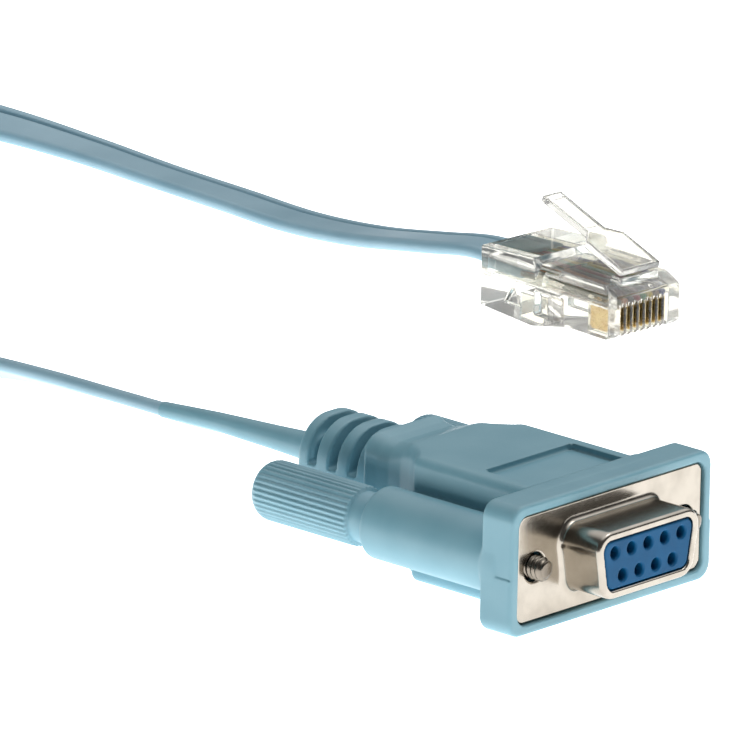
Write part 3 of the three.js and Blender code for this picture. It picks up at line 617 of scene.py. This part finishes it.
@dataclass
class Thumbscrew:
    """A captive jackscrew with its moulded, ribbed cap, on one side of the connector."""

    side: Side
    plate_y: float = -30.05
    axis_z: float = 7.6
    spacing: float = 24.99
    cap_start: float = 23.1
    collar: tuple[float, float] = (2.95, 2.5)
    knob: tuple[float, float, float] = (3.5, 15.0, 1.8)
    ribs: int = 34
    rib_depth: float = 0.17
    bore: float = 1.72
    thread: tuple[float, float, float, float] = (1.42, -1.8, 5.0, 0.635)
    thread_depth: float = 0.32
    shank: float = 1.6

    def ring(self, radius: np.ndarray | float, depth: np.ndarray | float, count: int) -> np.ndarray:
        """One ring of points round the screw's axis."""
        angle = np.arange(count) / count * 2 * math.pi
        depth = np.broadcast_to(depth, (count,))
        x = self.side.value * self.spacing / 2 + radius * np.cos(angle)
        z = self.axis_z + radius * np.sin(angle)
        return np.stack([x, self.plate_y + depth, z], 1)

    def cap(self) -> tuple[np.ndarray, list]:
        """The cap: smooth collar, ribbed grip and domed end, hollow for the screw."""
        collar_r, collar_len = self.collar
        radius, length, dome = self.knob
        knob_start = self.cap_start + collar_len
        knob_end = knob_start + length
        pocket = self.cap_start + length / 2
        count = self.ribs * 6
        wave = 0.5 - 0.5 * np.cos(np.arange(count) / 6 * 2 * math.pi)
        profile = [(self.bore, pocket, 0), (self.bore, self.cap_start + 0.2, 0),
                   (self.bore + 0.2, self.cap_start, 0),
                   (collar_r - 0.25, self.cap_start, 0), (collar_r - 0.06, self.cap_start + 0.08, 0),
                   (collar_r, self.cap_start + 0.25, 0), (collar_r, knob_start - 0.1, 0),
                   (collar_r + 0.02, knob_start, 0), (radius - 0.08, knob_start + 0.05, 0.6),
                   (radius, knob_start + 0.2, 1)]
        profile += [(radius, knob_start + 0.2 + (length - dome - 0.2) * k / 6, 1) for k in range(1, 7)]
        for k in range(1, 10):
            angle = k / 10 * math.pi / 2
            profile.append((radius - dome + dome * math.cos(angle), knob_end - dome + dome * math.sin(angle),
                            max(0.0, 1 - k / 5)))
        profile += [(0.6, knob_end, 0)]
        rings = [self.ring(r - self.rib_depth * share * wave, y, count) for r, y, share in profile]
        return np.concatenate(rings), tube_faces(len(rings), count)

    def screw(self) -> tuple[np.ndarray, list]:
        """The screw: a helical thread with a chamfered tip, then the plain shank inside the cap."""
        radius, tip, thread_end, pitch = self.thread
        count = 32
        phase = np.arange(count) / count
        rings = [self.ring(radius - 0.75, tip, count)]
        for y in np.arange(tip + 0.02, thread_end, pitch / 8):
            turn = (y / pitch + phase) % 1.0
            cut_in = self.thread_depth * np.minimum(1, 1.6 * np.abs(2 * turn - 1))
            taper = min(1.0, (y - tip) / 0.45)
            rings.append(self.ring((radius - cut_in) * (0.72 + 0.28 * taper), y, count))
        end = self.cap_start + self.knob[1] / 2 - 0.12
        rings += [self.ring(self.shank - 0.1, thread_end + 0.1, count),
                  self.ring(self.shank, thread_end + 0.3, count),
                  self.ring(self.shank, end, count)]
        return np.concatenate(rings), tube_faces(len(rings), count)

    def build(self, shop: Workshop) -> None:
        """Builds the cap and the screw and dresses them."""
        word = self.side.name.lower()
        body = f"thumbscrew_{word}"
        cap = add_mesh(f"{body}_cap", *self.cap())
        shop.dress(cap, CAP_PVC, body, [f"thumbscrew_knob_{word}"])
        screw = add_mesh(f"{body}_screw", *self.screw())
        shop.dress(screw, TURNED_STEEL_PAINTED_DARK, body, [f"jackscrew_{word}"])


@dataclass
class ModularPlug:
    """The clear eight-way plug: housing, latch, contact blades and the ends of the conductors.

    In its own frame x is across, y runs back from the front, and z is up from the nose's underside.
    """

    place: tuple[float, float, float] = (78.4, 34.3, 1.2)
    turn: float = math.radians(-4)
    half_width: float = 5.84
    length: float = 21.5
    profile: tuple[tuple[float, float], ...] = (
        (0.0, 0.5), (0.5, 0.0), (7.0, 0.0), (12.9, -1.2), (21.5, -0.6), (21.5, 6.7), (12.7, 7.2), (12.2, 6.3),
        (1.5, 6.3), (0.0, 5.0),
    )
    shoulder: tuple[float, float, float] = (4.6, 0.45, 12.4)
    pedestal: tuple[float, float, float, float] = (1.75, 3.1, 0.85, 6.85)
    room: tuple[float, float, float] = (4.27, 0.69, 12.0)
    relief: tuple[float, float, float, float] = (14.2, 3.2, 2.0, 2.1)
    window: tuple[float, float, float, float, float] = (10.2, 1.75, 2.2, 1.45, 4.64)
    notch: tuple[tuple[float, float], ...] = ((14.8, 0.7), (17.4, 0.7), (16.1, 2.8))
    notch_floor: float = 5.2
    ways: int = 8
    pitch: float = 1.02
    slot: tuple[float, float] = (0.56, 4.5)
    wire: tuple[float, float, float] = (0.78, 4.1, 0.8)
    jacket: tuple[float, float, float] = (7.0, 2.2, 10.0)
    latch_hinge: tuple[float, float] = (1.3, 7.6)
    latch_angle: float = math.radians(19.5)
    latch_outline: tuple[tuple[float, float], ...] = (
        (-3.1, -0.5), (3.1, -0.5), (3.1, 6.0), (1.5, 7.6),
        (1.5, 15.6), (-1.5, 15.6), (-1.5, 7.6), (-3.1, 6.0),
    )
    latch_thick: float = 1.0
    latch_panel: tuple[float, float, float, float] = (11.4, 0.85, 3.2, 0.22)
    cell: float = 0.17
    blade: tuple[float, float, float, float, float] = (0.35, 0.4, 3.8, 0.55, 3.25)

    def way(self, i: int) -> float:
        """Where way i lies across the plug."""
        return (i - (self.ways - 1) / 2) * self.pitch

    def placed(self, points: np.ndarray) -> np.ndarray:
        """Points of the plug's own frame in the row frame."""
        cos, sin = math.cos(self.turn), math.sin(self.turn)
        turned = np.stack([points[:, 0] * cos - points[:, 1] * sin,
                           points[:, 0] * sin + points[:, 1] * cos, points[:, 2]], 1)
        return turned + np.array(self.place)

    def turned(self, normals: np.ndarray) -> np.ndarray:
        """Directions of the plug's own frame in the row frame."""
        return self.placed(normals) - np.array(self.place)

    def housing_field(self, x: np.ndarray, y: np.ndarray, z: np.ndarray) -> np.ndarray:
        """The housing with its blade slots, wire room, jacket channel, side windows and relief pocket."""
        lean_from, lean, lean_end = self.shoulder
        shoulder = np.clip(z - lean_from, 0, 3) * lean * np.clip((lean_end - y) / 0.3, 0, 1)
        block = meet(polygon(y, z, self.profile), np.abs(x) - self.half_width + shoulder, 0.25)
        middle, half_x, half_y, top = self.pedestal
        pedestal = meet(rounded_box(x, y - middle, half_x, half_y, 0.3), slab(z, 4.0, top), 0.2)
        block = join(block, pedestal, 0.35)
        diameter, height, front = self.wire
        half_room, room_tall, room_end = self.room
        room = meet(rounded_box(x, z - height, half_room, room_tall, 0.3), slab(y, front - 0.3, room_end), 0.1)
        wide, tall, start = self.jacket
        channel = meet(rounded_box(x, z - height, wide / 2, tall / 2, 0.6), slab(y, start, 23), 0.1)
        block = carve(carve(block, room, 0.1), channel, 0.2)
        middle, half_x, half_y, below_wire = self.relief
        relief = meet(rounded_box(x, y - middle, half_x, half_y, 0.3), slab(z, -3, height - below_wire), 0.1)
        block = carve(block, relief, 0.15)
        along, up, half_y, half_z, inside = self.window
        window = meet(rounded_box(y - along, z - up, half_y, half_z, 0.3), inside - np.abs(x), 0.15)
        block = carve(block, window, 0.15)
        notch = meet(polygon(y, z, self.notch), self.notch_floor - np.abs(x), 0.1)
        block = carve(block, notch, 0.15)
        for i in range(self.ways):
            gap = meet(slab(x, self.way(i) - self.slot[0] / 2, self.way(i) + self.slot[0] / 2),
                       slab(y, -1, self.slot[1]), 0.05)
            block = carve(block, np.maximum(gap, z - height), 0.08)
        return block

    def latch_field(self, x: np.ndarray, y: np.ndarray, z: np.ndarray) -> np.ndarray:
        """The latch in its own frame: y along it from the hinge, z through its thickness."""
        outline = polygon(x, y, self.latch_outline)
        arm = meet(outline, np.abs(z) - self.latch_thick / 2, 0.3)
        middle, half_x, half_y, sunk_from = self.latch_panel
        panel = meet(rounded_box(x, y - middle, half_x, half_y, 0.3), sunk_from - z, 0.1)
        return carve(arm, panel, 0.12)

    def latch_placed(self, points: np.ndarray) -> np.ndarray:
        """Points of the latch's frame in the plug's own frame."""
        cos, sin = math.cos(self.latch_angle), math.sin(self.latch_angle)
        return np.stack([points[:, 0], points[:, 1] * cos - points[:, 2] * sin,
                         points[:, 1] * sin + points[:, 2] * cos], 1)

    def blades(self) -> tuple[np.ndarray, list]:
        """Eight stamped blades: rounded at the foot and toothed where they pierce the conductors."""
        thick, front, length, foot, top = self.blade
        back, tooth, root, corner = front + length, top + 0.35, top + 0.05, 0.25
        outline = [(front + corner, foot), (back - corner, foot), (back, foot + corner),
                   (back, tooth), (back - 0.5, root), (back - 1.0, tooth), (front + length / 2, root),
                   (front + 1.0, tooth), (front + 0.5, root), (front, tooth), (front, foot + corner)]
        points, faces = [], []
        for i in range(self.ways):
            for inset, side in ((0.05, -0.5), (0, -0.36), (0, 0.36), (0.05, 0.5)):
                middle = np.mean(outline, axis=0)
                for y, z in outline:
                    shrink = 1 - inset / 1.2
                    points.append((self.way(i) + side * thick, middle[0] + (y - middle[0]) * shrink,
                                   middle[1] + (z - middle[1]) * shrink))
            base = i * 4 * len(outline)
            faces += [tuple(base + k for k in face) for face in tube_faces(4, len(outline))]
        return np.array(points), faces

    def conductor(self, i: int) -> tuple[np.ndarray, list]:
        """One insulated conductor, from its cut end at the front to the jacket."""
        diameter, height, front = self.wire
        spread = self.way(i)
        tight = spread / self.pitch * 0.8
        route = np.array([(spread, front, height), (spread, 5, height), (spread, 8, height),
                          ((spread + tight) / 2, 11, height), (tight, 13.5, height), (tight, 16.4, height)])
        line, _ = spline(route, 0.5)
        angle = np.arange(16) / 16 * 2 * math.pi
        rings = []
        for k, centre in enumerate(line):
            radius = diameter / 2 * (0.86 if k in (0, len(line) - 1) else 1)
            rings.append(np.stack([centre[0] + radius * np.cos(angle), np.full(16, centre[1]),
                                   centre[2] + radius * np.sin(angle)], 1))
        return np.concatenate(rings), tube_faces(len(rings), 16)

    def build(self, shop: Workshop) -> list[bpy.types.Object]:
        """Builds the plug's pieces and dresses them.

        Returns:
            The pieces, which the cord carries.
        """
        low = (-self.half_width - 0.6, -0.6, -1.9)
        high = (self.half_width + 0.6, self.length + 0.6, 8.2)
        points, faces, normals = skin(self.housing_field, low, high, self.cell)
        housing = add_mesh("modular_plug_housing", self.placed(points), faces, self.turned(normals))
        shop.dress(housing, CLEAR_POLYCARBONATE, replaces=["plug_housing"])
        points, faces, normals = skin(self.latch_field, (-3.6, -1.1, -1), (3.6, 16.2, 1), self.cell)
        raised = self.latch_placed(points) + np.array([0, *self.latch_hinge])
        facing = self.turned(self.latch_placed(normals))
        latch = add_mesh("modular_plug_latch", self.placed(raised), faces, facing)
        shop.dress(latch, CLEAR_POLYCARBONATE, "latch", ["plug_latch"])
        points, faces = self.blades()
        blades = add_mesh("modular_plug_blades", self.placed(points), faces)
        blades.data.polygons.foreach_set("use_smooth", [False] * len(blades.data.polygons))
        shop.dress(blades, GOLD_FLASH, replaces=[f"contact_blade_{i + 1}" for i in range(8)])
        pieces = [housing, latch, blades]
        words = ("grey", "orange", "black", "red", "green", "yellow", "brown", "blue")
        for i, word in enumerate(words):
            points, faces = self.conductor(i)
            wire = add_mesh(f"conductor_{word}", self.placed(points), faces)
            # Polyethylene insulation, extruded: satin, one colour a wire
            finish = Finish(f"polyethylene_extruded_{word}", WIRE_COLOURS[i], WIRE_COLOURS[i],
                            (0.35, 0.45), 1.0,
                            0.3, 0.003)
            shop.dress(wire, finish, replaces=[f"conductor_{i + 1}"])
            pieces.append(wire)
        return pieces


@dataclass
class FlatCord:
    """The flat cord: a run from the socket connector, the coil on the ground, and a run to the plug.

    Each route row is a place and the cord's roll there: 0 lies flat and -90 stands on edge.
    """

    width: float = 6.4
    thick: float = 1.6
    groove: tuple[float, float, float] = (-1.5, 0.5, 0.42)
    socket_run: tuple[tuple[float, ...], ...] = (
        (0.0, 34.6, 7.87, -22.6), (0.0, 36.25, 7.87, -22.6), (0.0, 44.25, 7.85, -22.6),
        (0.0, 54.25, 7.7, -24),
        (-1.0, 66.0, 7.2, -32), (-4.5, 76.0, 6.4, -50), (-10.5, 87.0, 5.4, -74), (-17.1, 96.9, 4.7, -87),
    )
    plug_run: tuple[tuple[float, ...], ...] = (
        (52.5, 162.0, 8.9, -80), (60.8, 158.9, 7.8, -64), (69.3, 155.0, 6.3, -46), (77.2, 149.0, 4.3, -28),
        (82.8, 140.5, 2.5, -14), (85.2, 130.0, 1.3, -4), (84.9, 118.0, 0.86, 0), (83.8, 104.0, 0.84, 0),
        (82.5, 92.0, 1.0, 0), (81.2, 80.0, 2.2, 0), (80.2, 69.0, 4.1, 0),
    )
    plug_end: tuple[float, ...] = (26.5, 21.5, 16.7)
    coil_centre: tuple[float, float] = (8.0, 135.5)
    coil_radii: tuple[float, float] = (42.2, 32.8)
    coil_levels: tuple[float, float] = (4.25, 10.95)
    coil_start: float = math.radians(208)
    coil_turn: float = math.radians(2304 - 5)
    climb_turn: float = math.radians(110)

    def coil(self) -> np.ndarray:
        """The coil: wound inwards below, up along the inside, and outwards on the upper level."""
        turned = np.arange(0, self.coil_turn + 1e-6, self.coil_turn / 128)
        half = (self.coil_turn - self.climb_turn) / 2
        outer, inner = self.coil_radii
        inward = np.clip(turned / half, 0, 1)
        outward = np.clip((turned - half - self.climb_turn) / half, 0, 1)
        radius = outer + (inner - outer) * (inward - outward)
        climb = np.clip((turned - half) / self.climb_turn, 0, 1)
        climb = climb * climb * (3 - 2 * climb)
        level = self.coil_levels[0] + (self.coil_levels[1] - self.coil_levels[0]) * climb
        angle = self.coil_start - turned
        across, along = self.coil_centre
        return np.stack([across + radius * np.cos(angle), along + radius * np.sin(angle),
                         level, np.full(turned.shape, -90.0)], 1)

    def route(self, plug: ModularPlug) -> np.ndarray:
        """The whole route with its rolls, from the connector's tail to the jacket's end in the plug."""
        height = plug.wire[1]
        inside = plug.placed(np.array([(0.0, y, height) for y in self.plug_end]))
        inside = np.column_stack([inside, np.zeros(len(inside))])
        return np.concatenate([np.array(self.socket_run), self.coil(), np.array(self.plug_run), inside])

    def section(self) -> np.ndarray:
        """The cord's section: flat faces, round edges, and the groove that marks its first conductor."""
        half, radius = self.width / 2, self.thick / 2
        right = [(half - radius + radius * math.cos(a), radius * math.sin(a))
                 for a in np.linspace(math.pi / 2, -math.pi / 2, 9)]
        left = [(-half + radius - radius * math.cos(a), -radius * math.sin(a))
                for a in np.linspace(math.pi / 2, -math.pi / 2, 9)]
        bottom = [(u, -radius) for u in np.linspace(half - radius - 0.8, -half + radius + 0.8, 4)]
        middle, wide, deep = self.groove
        flat = [-0.9, 0.0, 0.9, 1.7, half - radius - 0.1]
        across = np.concatenate([middle + np.linspace(-0.5, 0.5, 9), flat])
        top = [(u, radius - deep * math.exp(-(((u - middle) / (wide / 2)) ** 2))) for u in across]
        return np.array(right + bottom + left + top)

    def build(self, shop: Workshop, plug: ModularPlug, carried: Sequence[bpy.types.Object | str]) -> None:
        """Args:
            shop: The workshop.
            plug: The plug that it ends in.
            carried: The separate pieces on it; not used.
        """
        line, _ = spline(self.route(plug), 1.3)
        place, roll = line[:, :3], np.radians(line[:, 3])
        tangent = np.gradient(place, axis=0)
        tangent /= np.linalg.norm(tangent, axis=1, keepdims=True)
        side = np.cross(tangent, [0, 0, 1.0])
        side /= np.linalg.norm(side, axis=1, keepdims=True)
        up = np.cross(side, tangent)
        cos, sin = np.cos(roll)[:, None], np.sin(roll)[:, None]
        wide, face = cos * side + sin * up, cos * up - sin * side
        section = self.section()
        sideways = section[None, :, :1] * wide[:, None, :]
        rings = place[:, None, :] + sideways + section[None, :, 1:] * face[:, None, :]
        cord = add_mesh("flat_cord", rings.reshape(-1, 3), tube_faces(len(rings), len(section)))
        shop.dress(cord, CORD_PVC_PAINTED_LIGHT, replaces=["cord_socket_run", "cord_coil", "cord_plug_run"])


@dataclass
class CoilTie:
    """The loop-fabric tie that holds the coil: a closed band round the turns."""

    centre: tuple[float, float] = (8.0, 135.5)
    angle: float = math.radians(100)
    reach: tuple[float, float] = (31.0, 44.2)
    height: float = 15.2
    width: float = 6.0
    thick: float = 0.6
    corner: float = 1.6

    def build(self, shop: Workshop) -> bpy.types.Object:
        """Builds the tie and dresses it.

        Returns:
            The tie, which lies on the cord.
        """
        inner, outer = self.reach
        middle, half_wide = (inner + outer) / 2, (outer - inner) / 2 - self.thick / 2
        half_high = self.height / 2 - self.thick / 2
        loop = []
        for sx, sz, quarter in ((1, 1, 0), (-1, 1, 1), (-1, -1, 2), (1, -1, 3)):
            for k in range(9):
                a = (quarter + k / 8) * math.pi / 2
                loop.append((middle + sx * (half_wide - self.corner) + self.corner * math.cos(a),
                             self.height / 2 + sz * (half_high - self.corner) + self.corner * math.sin(a)))
        loop = np.array(loop)
        ahead = np.roll(loop, -1, axis=0) - np.roll(loop, 1, axis=0)
        ahead /= np.linalg.norm(ahead, axis=1, keepdims=True)
        outward = np.stack([ahead[:, 1], -ahead[:, 0]], 1)
        half_t, half_w = self.thick / 2, self.width / 2
        section = [(-half_t, -half_w + 0.15), (-half_t + 0.15, -half_w), (half_t - 0.15, -half_w),
                   (half_t, -half_w + 0.15), (half_t, half_w - 0.15), (half_t - 0.15, half_w),
                   (-half_t + 0.15, half_w), (-half_t, half_w - 0.15)]
        cos, sin = math.cos(self.angle), math.sin(self.angle)
        points = []
        for spot, normal in zip(loop, outward):
            for t, w in section:
                r, z = spot + normal * t
                points.append((self.centre[0] + r * cos - w * sin, self.centre[1] + r * sin + w * cos, z))
        tie = add_mesh("coil_loop_tie", np.array(points), tube_faces(len(loop), len(section), closed=True))
        return shop.dress(tie, WOVEN_TIE, replaces=["coil_tie"])


@dataclass
class Studio:
    """The ground, the soft lights and the camera at the photograph's viewing angle."""

    azimuth: float = math.radians(-48.0)
    elevation: float = math.radians(17.2)
    roll: float = math.radians(1.3)
    focal_px: float = 20000.0
    frame_px: float = 735.0
    sensor: float = 36.0
    aim: tuple[float, float, float] = (0.0, -30.05, 7.6)
    aim_in_camera: tuple[float, float, float] = (27.0, -19.6, 2230.0)
    brightest: tuple[float, float, float] = (0.42, 0.1, 0.9)

    def camera(self) -> None:
        """Places the camera from where it sees the middle of the connector's plate."""
        a, e = self.azimuth, self.elevation
        back = Vector((math.sin(a) * math.cos(e), -math.cos(a) * math.cos(e), math.sin(e)))
        level = Vector((math.cos(a), math.sin(a), 0))
        upright = back.cross(level)
        c, s = math.cos(self.roll), math.sin(self.roll)
        right, up = c * level + s * upright, c * upright - s * level
        across, above, depth = self.aim_in_camera
        spot = Vector(self.aim) - right * across - up * above + back * depth
        data = bpy.data.cameras.new("camera")
        data.sensor_width = self.sensor
        data.lens = self.focal_px * self.sensor / self.frame_px
        data.clip_end = 50
        camera = bpy.data.objects.new("camera", data)
        bpy.context.scene.collection.objects.link(camera)
        turn = Matrix((right, up, back)).transposed().to_4x4()
        camera.matrix_world = Matrix.Translation(spot * MM) @ turn
        bpy.context.scene.camera = camera

    def softbox(self, name: str, spot: tuple[float, float, float], size: float, power: float) -> None:
        """Adds a square soft light aimed at the object."""
        data = bpy.data.lights.new(name, "AREA")
        data.size, data.energy = size, power
        light = bpy.data.objects.new(name, data)
        bpy.context.scene.collection.objects.link(light)
        light.location = spot
        light.rotation_euler = (Vector((0.03, 0.05, 0)) - Vector(spot)).to_track_quat("-Z", "Y").to_euler()

    def build(self, shop: Workshop) -> None:
        """Builds the ground and the lights."""
        half = 6000.0
        corners = np.array([(-half, -half, 0), (half, -half, 0), (half, half, 0), (-half, half, 0)])
        ground = add_mesh("ground", corners, [(0, 1, 2, 3)])
        ground.data.materials.append(shop.material(OPAL_TABLE))
        world = bpy.data.worlds.new("soft_room")
        bpy.context.scene.world = world
        world.use_nodes = True
        tree = world.node_tree
        tree.nodes.clear()
        direction = add_node(tree, "ShaderNodeTexCoord").outputs["Generated"]
        towards = add_node(tree, "ShaderNodeVectorMath", links={0: direction}, operation="DOT_PRODUCT")
        towards.inputs[1].default_value = self.brightest
        front = add_node(tree, "ShaderNodeMapRange",
                         {"From Min": 0.55, "From Max": 0.9, "To Min": 0.0, "To Max": 1.0},
                         {"Value": towards.outputs["Value"]}, interpolation_type="SMOOTHSTEP")
        shade = add_node(tree, "ShaderNodeValToRGB", links={"Fac": front.outputs["Result"]})
        set_ramp(shade, (0.07, 0.07, 0.07, 1), (0.97, 0.98, 1.0, 1))
        light = add_node(tree, "ShaderNodeBackground", {"Strength": 1.2}, {"Color": shade.outputs["Color"]})
        add_node(tree, "ShaderNodeOutputWorld", links={"Surface": light.outputs["Background"]})
        self.softbox("key", (0.5, -0.2, 1.2), 0.6, 3.0)
        bpy.context.scene.view_settings.view_transform = "Standard"


def main() -> None:
    """Builds the studio and the cable."""
    logging.basicConfig(level=logging.INFO, format="%(name)s: %(message)s")
    shop = Workshop()
    studio = Studio()
    studio.camera()
    plug = ModularPlug()
    carried = plug.build(shop)
    tie = CoilTie().build(shop)
    FlatCord().build(shop, plug, [*carried, tie])
    SocketConnector().build(shop)
    for side in Side:
        Thumbscrew(side).build(shop)
    studio.build(shop)


if __name__ == "__main__":
    main()
